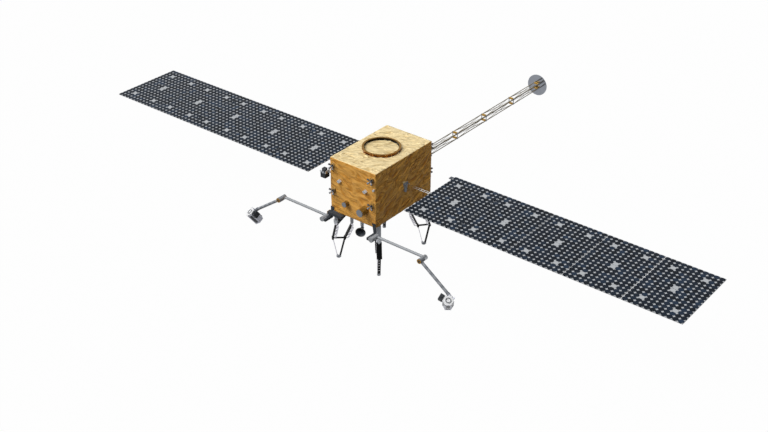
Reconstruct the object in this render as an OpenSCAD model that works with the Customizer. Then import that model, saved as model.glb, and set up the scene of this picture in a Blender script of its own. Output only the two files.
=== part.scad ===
// Robotic servicing spacecraft: foil-wrapped bus, two folding solar wings, lattice mast,
// two jointed arms with tools, and four truss legs. +X runs along the right wing, +Y along
// the mast, +Z up. The origin is the centre of the launch adapter ring's top face.

/* [Bus] */
// Width of the bus across the wings
bus_w = 1780; // [1500:10:2200]
// Depth of the bus along the mast
bus_d = 2760; // [2500:10:3200]
// Height of the bus
bus_h = 1860; // [1700:10:2200]
// Radius of the bus's upright edges
bus_edge_r = 40; // [20:1:80]

/* [Launch adapter ring] */
// Outside diameter of the ring
ring_od = 1215; // [900:1:1400]
// Height of the ring above the bus
ring_h = 100; // [60:1:160]
// Radial width of the ring's top flange
ring_flange_w = 62; // [40:1:90]
// Thickness of the ring's two flanges
ring_flange_t = 16; // [8:1:25]
// Wall of the ring between its flanges
ring_wall = 26; // [12:1:40]

/* [Solar wings] */
// Height of the wing plane above the bus's middle
wing_rise = 36; // [-100:1:150]
// Distance from the bus side to the first panel
wing_standoff = 1004; // [900:1:1300]
// Length of one panel along the wing
panel_len = 1768; // [1600:1:1900]
// Chord of the wing
panel_chord = 2572; // [2200:1:2640]
// Thickness of a panel
panel_t = 25; // [18:1:40]
// Gap between neighbouring panels
panel_gap = 23; // [20:1:40]
// Diameter of a round solar cell
cell_d = 160; // [120:1:160]
// Height of a cell above the panel
cell_t = 2; // [1:0.5:4]

/* [Wing hinges] */
// Distance from a panel's face to its hinge axis
hinge_offset = 12; // [12:1:20]
// Radius of a hinge knuckle
knuckle_r = 7; // [5.5:0.5:7]
// Radius of a hinge pin
pin_r = 4; // [2:0.5:5]
// Width of a hinge ear
ear_w = 13; // [8:1:16]
// Reach of a hinge ear from its axis
ear_reach = 30; // [26:1:40]

/* [Wing drive and yoke] */
// Length of the drive housing
drive_len = 70; // [40:1:90]
// Width of the drive housing at its top
drive_w = 190; // [150:1:240]
// Height of the drive housing
drive_h = 310; // [240:1:360]
// Radius of the drive's turning head
head_r = 66; // [62:1:80]
// Thickness of the drive's turning head
head_t = 28; // [15:1:40]
// Distance from the bus side to the yoke's root hinge
yoke_root = 150; // [140:1:200]
// Radius of the yoke's hub
yoke_hub_r = 22; // [18:1:28]
// Radius of the root hinge pin
root_pin_r = 9; // [6:0.5:12]
// Width of the yoke
yoke_w = 96; // [80:1:110]
// Section of the yoke's rails
yoke_rail = 10; // [8:1:20]
// Number of rungs in the yoke
yoke_rungs = 7; // [3:1:12]
// Thickness of the fork's cheeks
cheek_t = 14; // [8:1:20]

/* [Lattice mast] */
// Length of the mast from the bus to its disc
mast_len = 7563; // [5000:1:9000]
// Drop of the mast axis below the bus's middle
mast_drop = 164; // [0:1:300]
// Distance from the mast axis to a longeron, across and up
mast_half = 92; // [70:1:140]
// Radius of a longeron
longeron_r = 15; // [8:0.5:20]
// Number of bays from the first batten frame to the disc
mast_bays = 4; // [2:1:8]
// Thickness of a batten frame along the mast
batten_t = 34; // [15:1:50]
// Width of a batten frame's side bars
batten_bar = 14; // [10:1:24]
// Height of a batten frame's top and bottom bars
batten_deep = 40; // [20:1:60]
// Radius of a batten frame's corner eyes
batten_eye_r = 28; // [22:1:34]
// Side of the mast's base plate
mast_base_w = 360; // [300:1:500]
// Thickness of the mast's base plate
mast_base_t = 45; // [20:1:80]
// Radius of the disc at the tip
disc_r = 388; // [250:1:500]
// Thickness of the disc
disc_t = 26; // [15:1:50]

/* [Legs] */
// Distance of a foot from the bus's side
foot_inset_x = 68; // [40:1:160]
// Distance of a foot from the bus's front or rear face
foot_inset_y = 223; // [120:1:400]
// Height of the bus above the floor
leg_h = 1829; // [1500:1:2100]
// Width of the upper struts
upper_strut_w = 165; // [120:1:190]
// Depth of the lacing behind an upper strut
lacing_depth = 72; // [60:1:120]
// Radius of the lacing bars
lacing_r = 9; // [6:0.5:14]
// Width of the lower struts
lower_strut_w = 92; // [70:1:120]
// Radius of the tubes of the tube struts
tube_r = 11; // [8:0.5:16]
// Thickness of a strut's rails
strut_rail = 22; // [14:1:30]
// Depth of a strut in the leg's plane
strut_depth = 40; // [24:1:50]
// Radius of the leg's pivot barrels
pivot_r = 34; // [28:1:45]
// Radius of a foot pad
pad_r = 60; // [45:1:120]
// Thickness of a foot pad
pad_t = 22; // [12:1:40]

/* [Arms] */
// Distance of the shoulder axis from the bus's side
shoulder_standoff = 89; // [86:1:150]
// Drop of the shoulder axis below the bus
shoulder_drop = 207; // [190:1:260]
// Radius of the shoulder and elbow drums
drum_r = 80; // [65:1:86]
// Gap between the bus's front face and the drums
drum_gap = 44; // [30:1:80]
// Length of the drum that carries the upper link
drum_inner_len = 136; // [120:1:160]
// Length of the drum in front of it
drum_outer_len = 184; // [150:1:220]
// Distance from shoulder axis to elbow axis
upper_len = 1833; // [1500:1:2000]
// Radius of the upper link
upper_r = 43; // [30:1:55]
// Distance from elbow axis to wrist
fore_len = 1333; // [1100:1:1500]
// Radius of the forearm
fore_r = 47; // [30:1:55]
// Angle of the forearm below the horizontal
fore_angle = 35.6; // [20:0.1:50]
// Distance of the forearm's axis from the front of the drums
fore_setback = 64; // [60:1:90]
// Thickness of the elbow's end cap
cap_t = 12; // [6:1:20]

/* [Tools] */
// Distance across the tool's corners
tool_corners = 340; // [300:1:380]
// Length of the tool
tool_len = 465; // [380:1:520]
// Thickness of the tool's face plate
plate_t = 24; // [14:1:40]
// Outer radius of the raised ring on the plate
tool_ring_r = 88; // [70:1:110]
// Width of the raised ring
tool_ring_w = 30; // [15:1:40]
// Height of the raised ring
tool_ring_h = 16; // [8:1:25]
// Lean of the tool's axis from the vertical
tool_lean = 37.3; // [20:0.1:50]
// Turn of the tool's axis about the vertical
tool_turn = -54.3; // [-70:0.1:-40]

/* [Bus equipment] */
// Span of a thruster pod across its nozzles
pod_span = 200; // [150:1:240]
// Height of a thruster pod from the bus face
pod_h = 95; // [70:1:120]
// Radius of the horn's mouth
horn_r = 160; // [120:1:190]
// Length of the horn
horn_len = 230; // [180:1:280]
// Wall of the horn
horn_wall = 9; // [5:1:15]
// Radius of the small sensor barrel
barrel_small_r = 86; // [60:1:90]
// Length of the small sensor barrel
barrel_small_len = 170; // [120:1:220]
// Radius of the large sensor barrel
barrel_large_r = 126; // [90:1:140]
// Length of the large sensor barrel
barrel_large_len = 296; // [240:1:340]

/* [Hidden] */
$fn = 64;

RIGHT = 1;
LEFT = -1;
// Overrun of every cut and of every seat that is fused
overrun = 1;
// Gap at a pin, at a turning face and at a seat
run_clear = 0.3;

bus_top = -ring_h;
bus_mid = bus_top - bus_h / 2;
bus_bottom = bus_top - bus_h;
front_y = -bus_d / 2;
rear_y = bus_d / 2;
side_x = bus_w / 2;

wing_z = bus_mid + wing_rise;
panel_pitch = panel_len + panel_gap;
wing_start = side_x + wing_standoff;
yoke_root_x = side_x + yoke_root;
panels_per_wing = 5;
cell_cols = 11;
cell_rows = 16;
cell_pitch_x = panel_len / cell_cols;
cell_pitch_y = panel_chord / cell_rows;
// Columns and rows left without a cell, as [column, row]
bare_cells = [[2, 2], [8, 2], [2, 13], [8, 13], [5, 7], [5, 8]];
// Rows of cells between the wing's middle and a hinge
hinge_rows = 5;
hinge_y = hinge_rows * cell_pitch_y;
yoke_hinge_y = yoke_w / 2;
ear_gap = 14;

// Cuts the cell table's empty places out of the pattern
function has_cell(c, r) = len([for (b = bare_cells) if (b == [c, r]) b]) == 0;
// Hinge lines take turns below and above the panels, so that the wing folds like a screen
function hinge_side(line) = line % 2 == 1 ? -1 : 1;
function hinge_x(line) = wing_start + (line - 1) * panel_pitch - panel_gap / 2;
function hinge_rise(line) = hinge_side(line) > 0 ? panel_t / 2 + cell_t + hinge_offset
    : -(panel_t / 2 + hinge_offset);
function hinge_places(line) = line == 1 ? [-yoke_hinge_y, yoke_hinge_y] : [-hinge_y, hinge_y];

module at_side(side) {
    mirror([side < 0 ? 1 : 0, 0, 0]) children();
}

module along_x(length, r) {
    rotate([0, 90, 0]) cylinder(h = length, r = r);
}

module along_y(length, r) {
    rotate([-90, 0, 0]) cylinder(h = length, r = r);
}

module rounded_square(size, r) {
    square([size.x - 2 * r, size.y], center = true);
    square([size.x, size.y - 2 * r], center = true);
    for (x = [-1, 1], y = [-1, 1])
        translate([x * (size.x / 2 - r), y * (size.y / 2 - r)]) circle(r);
}

// Bus

module bus() {
    color("goldenrod")
        translate([0, 0, bus_bottom])
            linear_extrude(bus_h) rounded_square([bus_w, bus_d], bus_edge_r);
}

module adapter_ring() {
    outer = ring_od / 2;
    color("saddlebrown")
        rotate_extrude() {
            translate([outer - ring_flange_w, -ring_flange_t]) square([ring_flange_w, ring_flange_t]);
            translate([outer - ring_flange_w, -ring_h]) square([ring_flange_w, ring_flange_t]);
            translate([outer - (ring_flange_w + ring_wall) / 2, -ring_h]) square([ring_wall, ring_h]);
        }
}

// Thruster pods on the front and rear faces

// Places as shares of half the bus's width and of its height from the middle
pod_x_share = 0.85;
pod_rise_shares = [0.369, -0.096];
pod_x = side_x * pod_x_share;
// Radii as shares of the pod's span
pod_foot_share = 0.24;
pod_hub_share = 0.17;
nozzle_throat_share = 0.05;
nozzle_mouth_share = 0.12;
// Thickness of the foot as a share of the pod's height
pod_foot_t_share = 0.2;
nozzle_mouth_r = pod_span * nozzle_mouth_share;
nozzle_lean = 62;

module thruster_pod() {
    nozzle_len = pod_span / 2 / sin(nozzle_lean);
    cylinder(h = pod_h * pod_foot_t_share, r = pod_span * pod_foot_share);
    cylinder(h = pod_h, r = pod_span * pod_hub_share);
    for (turn = [45:90:315])
        translate([0, 0, pod_h - nozzle_mouth_r])
            rotate([0, nozzle_lean, turn])
                cylinder(h = nozzle_len, r1 = pod_span * nozzle_throat_share, r2 = nozzle_mouth_r);
}

module pods_on(face_y, facing) {
    color("silver")
        for (x = [-pod_x, pod_x], share = pod_rise_shares)
            translate([x, face_y, bus_mid + bus_h * share])
                rotate([facing * -90, 0, 0]) thruster_pod();
}

module front_thrusters() {
    pods_on(front_y, -1);
}

module rear_thrusters() {
    pods_on(rear_y, 1);
}

// Sun sensors: two canted heads on the front, and a knob on each end face

// Places as [share of half the bus's width, share of its height from the middle]
sun_share = [0.569, 0.128];
knob_share = [0.933, 0.206];
sun_x = side_x * sun_share.x;
sun_rise = bus_h * sun_share.y;
sun_w = 96;
sun_h = 84;
knob_x = side_x * knob_share.x;
knob_rise = bus_h * knob_share.y;
knob_r = 34;
knob_len = 60;

module sun_sensors() {
    color("lightslategray") {
        for (x = [-sun_x, sun_x])
            translate([x, front_y - sun_h, bus_mid + sun_rise])
                rotate([-90, 45, 0])
                    linear_extrude(sun_h) square(sun_w, center = true);
        translate([knob_x, front_y - knob_len, bus_mid + knob_rise]) along_y(knob_len, knob_r);
        translate([knob_x, rear_y, bus_mid + knob_rise]) along_y(knob_len, knob_r);
    }
}

// Foil-wrapped sensor barrels on the front face, each with a flat window

window_t = 14;
window_share = 0.94;
// Places as [share of half the bus's width, share of its height from the middle]
small_share = [-0.254, -0.236];
large_share = [0.5506, -0.2226];
// Barrels as [x, rise, radius, length]
barrels = [
    [side_x * small_share.x, bus_h * small_share.y, barrel_small_r, barrel_small_len],
    [side_x * large_share.x, bus_h * large_share.y, barrel_large_r, barrel_large_len]
];

module sensor_barrels() {
    color("darkgoldenrod")
        for (b = barrels)
            translate([b[0], front_y - b[3] + window_t, bus_mid + b[1]])
                along_y(b[3] - window_t, b[2]);
}

module sensor_windows() {
    color("slategray")
        for (b = barrels)
            translate([b[0], front_y - b[3], bus_mid + b[1]])
                along_y(window_t, b[2] * window_share);
}

// Horn under the front edge, on a post from the bus's underside

horn_x_share = 0.225;
horn_setback = 170;
horn_x = side_x * horn_x_share;
horn_y = front_y + horn_setback;
horn_drop = 345;
horn_turn = 28;
horn_throat_r = 55;
horn_post_r = 34;
// Steps along the bell, and how sharply it opens towards its mouth
horn_steps = 6;
horn_power = 1.6;

module at_horn() {
    translate([horn_x, horn_y, bus_bottom - horn_drop])
        rotate([0, 0, horn_turn]) rotate([90, 0, 0]) children();
}

module horn() {
    flare = horn_r - horn_throat_r;
    outside = [
        for (i = [0:horn_steps])
            [horn_throat_r + flare * pow(i / horn_steps, horn_power), horn_len * i / horn_steps]
    ];
    inside = [for (i = [horn_steps:-1:1]) [outside[i].x - horn_wall, outside[i].y]];
    color("dimgray")
        at_horn()
            rotate_extrude()
                polygon(concat([[0, 0]], outside, inside, [[0, horn_wall]]));
}

module horn_post() {
    color("gray")
        at_horn() {
            translate([0, 0, -2 * horn_post_r]) cylinder(h = 2 * horn_post_r, r = horn_throat_r);
            translate([0, 0, -horn_post_r]) rotate([-90, 0, 0]) cylinder(h = horn_drop, r = horn_post_r);
        }
}

// Camera head beside the bus's left front edge

side_box = [190, 200, 161];
// Middle of the head: out from the bus side, in front of the bus, and its underside above the bus's middle
side_out = 165;
side_fore = 60;
side_rise = 219;
side_fins = 8;
side_fin_t = 9;
side_fin_depth = 12;
side_deck_t = 24;
side_cap = [120, 120, 90];
side_lens_r = 46;
side_lens_len = 170;
side_lens_lean = 24;
side_p = [-side_x - side_out, front_y - side_fore, bus_mid + side_rise];
side_deck_z = side_p.z + side_box.z;

module side_sensor() {
    core = [side_box.x - 2 * side_fin_depth, side_box.y - 2 * side_fin_depth, side_box.z];
    color("dimgray")
        translate(side_p) {
            translate([-core.x / 2, -core.y / 2, 0]) cube(core);
            for (i = [0:side_fins - 1]) {
                share = i / (side_fins - 1) - 0.5;
                translate([share * (side_box.x - side_fin_t) - side_fin_t / 2, -side_box.y / 2, 0])
                    cube([side_fin_t, side_box.y, side_box.z]);
                translate([-side_box.x / 2, share * (side_box.y - side_fin_t) - side_fin_t / 2, 0])
                    cube([side_box.x, side_fin_t, side_box.z]);
            }
            translate([0, -side_cap.y / 4, side_box.z + side_deck_t]) {
                translate([-side_box.x / 2, 0, 0]) cube(side_cap);
                difference() {
                    translate([side_box.x / 4, 0, 0])
                        rotate([side_lens_lean, 0, 0])
                            translate([0, 0, -side_lens_r]) cylinder(h = side_lens_len, r = side_lens_r);
                    translate(-side_box) cube([2 * side_box.x, 2 * side_box.y, side_box.z]);
                }
            }
        }
}

side_arm = [60, 44];
side_tab = [60, 30];
side_slot = [34, 60];
side_cheek_h = 96;
side_cheek_t = 14;

module side_bracket() {
    deck = [side_box.x + side_tab.y, side_box.y];
    arm_y = front_y + bus_edge_r;
    color("silver") {
        difference() {
            translate([side_p.x - deck.x / 2, side_p.y - deck.y / 2, side_deck_z])
                cube([deck.x, deck.y, side_deck_t]);
            for (x = [-1, 1])
                translate([
                    side_p.x + x * deck.x / 4 - side_slot.x / 2,
                    side_p.y - deck.y / 2 - overrun,
                    side_deck_z - overrun
                ])
                    cube([side_slot.x, side_slot.y, side_deck_t + 2 * overrun]);
        }
        translate([side_p.x - deck.x / 2 - side_tab.x, side_p.y - deck.y / 4, side_deck_z])
            cube([side_tab.x + overrun, side_tab.y, side_deck_t]);
        translate([side_p.x + deck.x / 2 - side_cheek_t, side_p.y - deck.y / 2, side_deck_z])
            cube([side_cheek_t, deck.y, side_cheek_h]);
        translate([side_p.x + deck.x / 2 - overrun, side_p.y + deck.y / 2 - side_arm.x, side_deck_z])
            cube([-side_x - side_p.x - deck.x / 2 + overrun, side_arm.x, side_arm.y]);
        translate([-side_x - side_cheek_t, arm_y, side_deck_z - side_cheek_h])
            cube([side_cheek_t, side_arm.x, 2 * side_cheek_h]);
    }
}

// Stub antenna under the right edge

stub_inset_x = 89;
stub_inset_y = 560;
stub_r = 20;
stub_h = 235;
stub_base_r = 36;
stub_base_h = 50;

module belly_antenna() {
    color("dimgray")
        translate([side_x - stub_inset_x, front_y + stub_inset_y, bus_bottom - stub_h]) {
            cylinder(h = stub_h, r = stub_r);
            translate([0, 0, stub_h - stub_base_h]) cylinder(h = stub_base_h, r = stub_base_r);
        }
}

// Lattice mast

mast_z = bus_mid - mast_drop;
mast_end = rear_y + mast_len;
// Place of the first batten frame as a share of the mast's length
mast_first_share = 0.11;
mast_bay = mast_len * (1 - mast_first_share) / mast_bays;

module mast_base() {
    color("silver")
        translate([-mast_base_w / 2, rear_y, mast_z - mast_base_w / 2])
            cube([mast_base_w, mast_base_t, mast_base_w]);
}

module mast_longerons() {
    start = rear_y + mast_base_t;
    color("gainsboro")
        for (x = [-mast_half, mast_half], z = [-mast_half, mast_half])
            translate([x, start, mast_z + z]) along_y(mast_end - start, longeron_r);
}

module batten_frame() {
    rotate([90, 0, 0])
        linear_extrude(batten_t, center = true)
            difference() {
                union() {
                    for (x = [-mast_half, mast_half], z = [-mast_half, mast_half])
                        translate([x, z]) circle(batten_eye_r);
                    difference() {
                        square([2 * mast_half + batten_bar, 2 * mast_half + batten_deep], center = true);
                        square([2 * mast_half - batten_bar, 2 * mast_half - batten_deep], center = true);
                    }
                }
                for (x = [-mast_half, mast_half], z = [-mast_half, mast_half])
                    translate([x, z]) circle(longeron_r + run_clear);
            }
}

module mast_battens() {
    color("goldenrod")
        for (bay = [1:mast_bays])
            translate([0, mast_end - bay * mast_bay, mast_z]) batten_frame();
}

module mast_disc() {
    color("slategray")
        translate([0, mast_end, mast_z]) along_y(disc_t, disc_r);
}

// Wing drives, yokes and panels

// Width of the housing at its foot, as a share of its width at the top
drive_taper_share = 0.46;
drive_plug_r = 30;
// Top of the housing over the wing's axis
drive_top = 50;

module drive_housings() {
    foot_w = drive_w * drive_taper_share;
    color("slategray")
        for (side = [LEFT, RIGHT])
            at_side(side)
                translate([side_x, 0, wing_z]) {
                    rotate([90, 0, 90])
                        linear_extrude(drive_len)
                            polygon([
                                [-drive_w / 2, drive_top],
                                [drive_w / 2, drive_top],
                                [foot_w / 2, drive_top - drive_h],
                                [-foot_w / 2, drive_top - drive_h]
                            ]);
                    translate([0, 0, drive_top - drive_h]) along_x(drive_len, drive_plug_r);
                }
}

module drive_head(side) {
    head_x = side_x + drive_len + run_clear;
    cheek_y = yoke_w / 2 + run_clear;
    color("slategray")
        at_side(side)
            translate([0, 0, wing_z]) {
                translate([head_x, 0, 0]) along_x(head_t, head_r);
                for (y = [-cheek_y - cheek_t, cheek_y]) {
                    translate([head_x, y, -yoke_hub_r])
                        cube([yoke_root_x - head_x, cheek_t, 2 * yoke_hub_r]);
                    translate([yoke_root_x, y, 0]) along_y(cheek_t, yoke_hub_r);
                }
                translate([yoke_root_x, -cheek_y - cheek_t, 0])
                    along_y(2 * (cheek_y + cheek_t), root_pin_r);
            }
}

// Ears and pin on the inboard side of a hinge line
module hinge_ears(line) {
    side = hinge_side(line);
    axis_z = hinge_rise(line);
    face_z = side * (panel_t / 2 - overrun);
    tip_z = axis_z + side * knuckle_r;
    for (y = hinge_places(line))
        translate([hinge_x(line), y, 0]) {
            for (ear_y = [-ear_gap / 2 - ear_w, ear_gap / 2]) {
                translate([0, ear_y, axis_z]) along_y(ear_w, knuckle_r);
                translate([-ear_reach, ear_y, min(face_z, tip_z)])
                    cube([ear_reach, ear_w, abs(tip_z - face_z)]);
            }
            translate([0, -ear_gap / 2 - ear_w, axis_z]) along_y(ear_gap + 2 * ear_w, pin_r);
        }
}

// Knuckles on the outboard side of a hinge line
module hinge_knuckles(line) {
    side = hinge_side(line);
    axis_z = hinge_rise(line);
    face_z = side * (panel_t / 2 - overrun);
    tip_z = axis_z + side * knuckle_r;
    width = ear_gap - 2 * run_clear;
    for (y = hinge_places(line))
        translate([hinge_x(line), y - width / 2, 0]) {
            translate([0, 0, axis_z]) along_y(width, knuckle_r);
            translate([0, 0, min(face_z, tip_z)]) cube([ear_reach, width, abs(tip_z - face_z)]);
        }
}

module hinge_bores(line) {
    for (y = hinge_places(line))
        translate([hinge_x(line), y - ear_gap / 2, hinge_rise(line)])
            along_y(ear_gap, pin_r + run_clear);
}

module yoke(side) {
    tip_x = wing_start - panel_gap;
    bar = 3 * yoke_rail;
    rail_y = yoke_w / 2 - yoke_rail;
    rung_step = (tip_x - yoke_root_x) / (yoke_rungs + 1);
    end_w = 2 * yoke_hinge_y + ear_gap + 2 * ear_w;
    color("whitesmoke")
        at_side(side)
            translate([0, 0, wing_z]) {
                difference() {
                    union() {
                        translate([yoke_root_x, -yoke_w / 2, 0]) along_y(yoke_w, yoke_hub_r);
                        for (y = [-yoke_w / 2, rail_y])
                            translate([yoke_root_x, y, -yoke_rail / 2])
                                cube([tip_x - yoke_root_x, yoke_rail, yoke_rail]);
                    }
                    translate([yoke_root_x, -yoke_w / 2 - overrun, 0])
                        along_y(yoke_w + 2 * overrun, root_pin_r + run_clear);
                }
                for (i = [1:yoke_rungs])
                    translate([yoke_root_x + i * rung_step, -rail_y - overrun, -yoke_rail / 2])
                        cube([yoke_rail, 2 * (rail_y + overrun), yoke_rail]);
                translate([tip_x - bar, -end_w / 2, -panel_t / 2]) cube([bar, end_w, panel_t]);
                hinge_ears(1);
            }
}

// Hold-down tab on the inner edge of each first panel
hold_size = [120, 130];
hold_inset = 190;

module solar_panel(side, place) {
    x0 = wing_start + (place - 1) * panel_pitch;
    last = place == panels_per_wing;
    color("midnightblue")
        at_side(side)
            translate([0, 0, wing_z])
                difference() {
                    union() {
                        translate([x0, -panel_chord / 2, -panel_t / 2])
                            cube([panel_len, panel_chord, panel_t]);
                        for (c = [0:cell_cols - 1], r = [0:cell_rows - 1])
                            if (has_cell(c, r))
                                translate([
                                    x0 + (c + 0.5) * cell_pitch_x,
                                    (r + 0.5) * cell_pitch_y - panel_chord / 2,
                                    panel_t / 2 - overrun
                                ])
                                    cylinder(h = cell_t + overrun, d = cell_d);
                        if (place == 1)
                            translate([x0 - hold_size.x, panel_chord / 2 - hold_inset, -panel_t / 2])
                                cube([hold_size.x + overrun, hold_size.y, panel_t]);
                        hinge_knuckles(place);
                        if (!last) hinge_ears(place + 1);
                    }
                    hinge_bores(place);
                }
}

// Legs: each lies in an upright plane through its foot, at 45 degrees

// Pivots of a leg as shares of the leg's height, [outward from the foot, below the bus]
hip_out_share = [0.033, 0.299];
hip_in_share = [-0.238, 0.328];
knee_out_share = [0.097, 0.600];
knee_in_share = [-0.112, 0.610];
foot_share = [0, 0.975];
upper_bays = 4;
lower_rungs = 6;
// Gap between the two barrels of a foot, and from the foot's middle to either barrel
foot_slot = 16;
foot_side = [pivot_r + foot_slot / 2, 0];
foot_x = side_x - foot_inset_x;
foot_y = rear_y - foot_inset_y;

function leg_point(share) = [share.x * leg_h, -share.y * leg_h];

// Places its children on every leg, and tells them which side the leg stands on
module each_leg() {
    for (x = [-1, 1], y = [-1, 1]) {
        $leg_side = x;
        translate([x * foot_x, y * foot_y, bus_bottom])
            rotate([0, 0, atan2(y, x)]) children();
    }
}

module barrel_at(p, width) {
    translate([p.x, -width / 2, p.y]) along_y(width, pivot_r);
}

// Lays its children along a strut, from one pivot's barrel to the next
module along_strut(from, to) {
    run = to - from;
    translate([from.x, 0, from.y])
        rotate([0, atan2(run.x, run.y), 0])
            translate([0, 0, pivot_r]) children();
}

function strut_len(from, to) = norm(to - from) - 2 * pivot_r;

// Flat strut
module plate_strut(from, to) {
    along_strut(from, to)
        translate([-strut_depth / 2, -upper_strut_w / 2, 0])
            cube([strut_depth, upper_strut_w, strut_len(from, to)]);
}

// Flat bar between two points of a drawing
module flat_bar(from, to) {
    run = to - from;
    translate(from)
        rotate(atan2(run.y, run.x))
            translate([-lacing_r, -lacing_r]) square([norm(run) + 2 * lacing_r, 2 * lacing_r]);
}

// Zigzag behind a flat strut, from the strut to a thin rail and back
module lacing(from, to) {
    length = strut_len(from, to);
    step = length / upper_bays;
    near = strut_depth / 2;
    far = near + lacing_depth;
    along_strut(from, to)
        for (y = [2 * lacing_r - upper_strut_w / 2, upper_strut_w / 2])
            translate([0, y, 0])
                rotate([90, 0, 0])
                    linear_extrude(2 * lacing_r)
                        intersection() {
                            translate([near, 0]) square([lacing_depth + lacing_r, length]);
                            union() {
                                flat_bar([far, step / 2], [far, length - step / 2]);
                                for (i = [0:upper_bays - 1]) {
                                    flat_bar([near, i * step], [far, (i + 0.5) * step]);
                                    flat_bar([far, (i + 0.5) * step], [near, (i + 1) * step]);
                                }
                            }
                        }
}

// Ladder strut
module ladder(from, to) {
    length = strut_len(from, to);
    step = length / lower_rungs;
    along_strut(from, to)
        translate([-strut_depth / 2, 0, 0]) {
            for (y = [-lower_strut_w / 2, lower_strut_w / 2 - strut_rail])
                translate([0, y, 0]) cube([strut_depth, strut_rail, length]);
            for (i = [0:lower_rungs - 1])
                translate([0, overrun - lower_strut_w / 2, i * step])
                    cube([strut_depth, lower_strut_w - 2 * overrun, step / 2]);
        }
}

// Strut of two tubes
module tubes(from, to) {
    along_strut(from, to)
        for (y = [tube_r - lower_strut_w / 2, lower_strut_w / 2 - tube_r])
            translate([0, y, 0]) cylinder(h = strut_len(from, to), r = tube_r);
}

hip_w = 120;
hip_post_w = 96;
hip_brace_w = 56;
gusset_t = 12;

module leg_hips() {
    color("dimgray")
        each_leg()
            for (p = [leg_point(hip_out_share), leg_point(hip_in_share)])
                translate([p.x - hip_post_w / 2, -hip_w / 2, p.y + pivot_r])
                    cube([hip_post_w, hip_w, -p.y - pivot_r]);
}

// Brace from the foot of the outer post to the head of the inner one, in the leg's plane
brace_out = [leg_point(hip_out_share).x - hip_post_w / 2, leg_point(hip_out_share).y + pivot_r];
brace_in = [leg_point(hip_in_share).x + hip_post_w / 2, -hip_brace_w];
brace_up = [0, hip_brace_w];

module leg_brace() {
    translate([0, hip_brace_w / 2, 0])
        rotate([90, 0, 0])
            linear_extrude(hip_brace_w)
                polygon([brace_out, brace_out + brace_up, brace_in + brace_up, brace_in]);
}

// Foil-covered web between the brace, the outer post and the bus
module leg_gusset() {
    translate([0, gusset_t / 2, 0])
        rotate([90, 0, 0])
            linear_extrude(gusset_t)
                polygon([brace_out + brace_up, [brace_out.x, 0], [brace_in.x, 0]]);
}

module leg_knuckles() {
    color("lightgray")
        each_leg()
            for (share = [hip_out_share, hip_in_share]) barrel_at(leg_point(share), upper_strut_w);
}

module leg_upper_struts() {
    color("black")
        each_leg() {
            leg_brace();
            plate_strut(leg_point(hip_out_share), leg_point(knee_out_share));
            plate_strut(leg_point(hip_in_share), leg_point(knee_in_share));
        }
}

module leg_lacing() {
    foot = leg_point(foot_share);
    color("lightgray")
        each_leg() {
            lacing(leg_point(hip_out_share), leg_point(knee_out_share));
            lacing(leg_point(hip_in_share), leg_point(knee_in_share));
            if ($leg_side > 0) tubes(leg_point(knee_in_share), foot - foot_side);
            else tubes(leg_point(knee_out_share), foot + foot_side);
        }
}

module leg_knees() {
    out = leg_point(knee_out_share);
    inn = leg_point(knee_in_share);
    run = out - inn;
    color("gray")
        each_leg() {
            for (p = [out, inn]) barrel_at(p, upper_strut_w);
            translate([inn.x, -strut_depth / 2, inn.y])
                rotate([0, atan2(run.x, run.y), 0])
                    translate([-strut_depth / 2, 0, 0]) cube([strut_depth, strut_depth, norm(run)]);
        }
}

// On every leg the strut towards the right wing is a ladder and the other is a pair of tubes
module leg_lower_struts() {
    foot = leg_point(foot_share);
    color("black")
        each_leg()
            if ($leg_side > 0) ladder(leg_point(knee_out_share), foot + foot_side);
            else ladder(leg_point(knee_in_share), foot - foot_side);
}

module leg_feet() {
    foot = leg_point(foot_share);
    color("dimgray")
        each_leg() {
            for (p = [foot + foot_side, foot - foot_side]) barrel_at(p, lower_strut_w);
            translate([0, 0, -leg_h]) cylinder(h = pad_t, r = pad_r);
            translate([0, 0, -leg_h]) cylinder(h = foot.y + leg_h, r = pivot_r);
        }
}

// Arms, drawn for the right side and mirrored for the left

shoulder_x = side_x + shoulder_standoff;
arm_z = bus_bottom - shoulder_drop;
drum_back_y = front_y - drum_gap;
drum_split_y = drum_back_y - drum_inner_len;
drum_front_y = drum_split_y - drum_outer_len;
link_y = drum_back_y - drum_gap;
fore_y = drum_front_y + fore_setback;
elbow_x = shoulder_x + upper_len;
wrist_back = 30;
wrist_collar_r = 56;
wrist_collar_len = 70;
// Plate on the bus's front face, and the beam from it to the shoulder motor
bracket_w = 130;
bracket_rise = 150;
bracket_t = 20;
beam_w = 70;
beam_h = 80;
// Box in front of the left bracket, and the foil cover on its end
base_size = [560, 130, 90];
base_out = 29;
base_end_t = 16;
base_corner = [
    side_x + base_out - base_size.x,
    front_y - bracket_t - base_size.y,
    bus_bottom - base_size.z
];

module at_elbow(side) {
    at_side(side) translate([elbow_x, fore_y, arm_z]) rotate([0, 90 + fore_angle, 0]) children();
}

module arm_brackets() {
    color("dimgray")
        for (side = [LEFT, RIGHT])
            at_side(side) {
                translate([0, front_y, 0])
                    rotate([90, 0, 0])
                        linear_extrude(bracket_t)
                            polygon([
                                [side_x - bracket_w, bus_bottom + bracket_rise],
                                [side_x, bus_bottom + bracket_rise],
                                [side_x, arm_z - beam_h / 2],
                                [side_x - beam_w, arm_z - beam_h / 2]
                            ]);
                translate([side_x - beam_w, drum_front_y, arm_z - beam_h / 2])
                    cube([beam_w, front_y - drum_front_y, beam_h]);
                if (side == LEFT)
                    translate(base_corner) cube(base_size + [0, bracket_t / 2, 0]);
            }
}

// Foil cover on the end of the left bracket's box, and the webs at the hips
module foil_covers() {
    color("darkgoldenrod") {
        at_side(LEFT)
            translate(base_corner + [base_size.x, 0, 0]) cube([base_end_t, base_size.y, base_size.z]);
        each_leg() leg_gusset();
    }
}

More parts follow.
